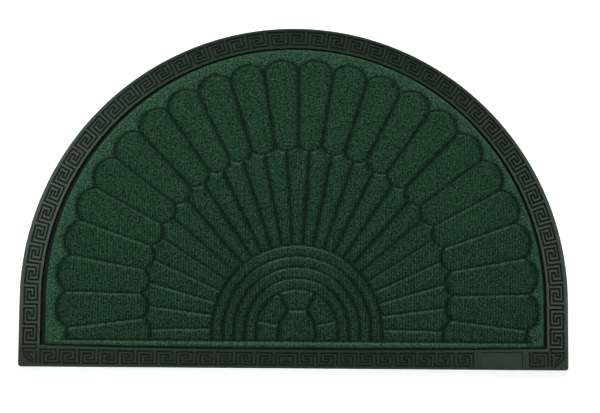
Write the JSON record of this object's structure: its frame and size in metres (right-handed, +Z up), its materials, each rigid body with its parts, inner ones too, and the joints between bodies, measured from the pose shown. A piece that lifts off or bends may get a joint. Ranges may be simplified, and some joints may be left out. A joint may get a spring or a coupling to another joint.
{
  "type": "half-round doormat",
  "caption": "Half-round entrance mat: a rubber tray with a raised meander border holds a green ribbed carpet pressed with a fan.",
  "frame": {"origin": "under the middle of the mat, on the surface that it lies on", "axes": "+X along the straight edge, +Y from the straight edge to the top of the arch, +Z up"},
  "size_m": [0.8, 0.5, 0.009],
  "materials": {
    "rubber": "moulded black-grey rubber, satin",
    "carpet": "dark green ribbed needle-punched pile, pressed with a fan"
  },
  "bodies": {
    "root": {"rubber_tray": "rubber", "ribbed_carpet": "carpet"}
  },
  "joints": []
}
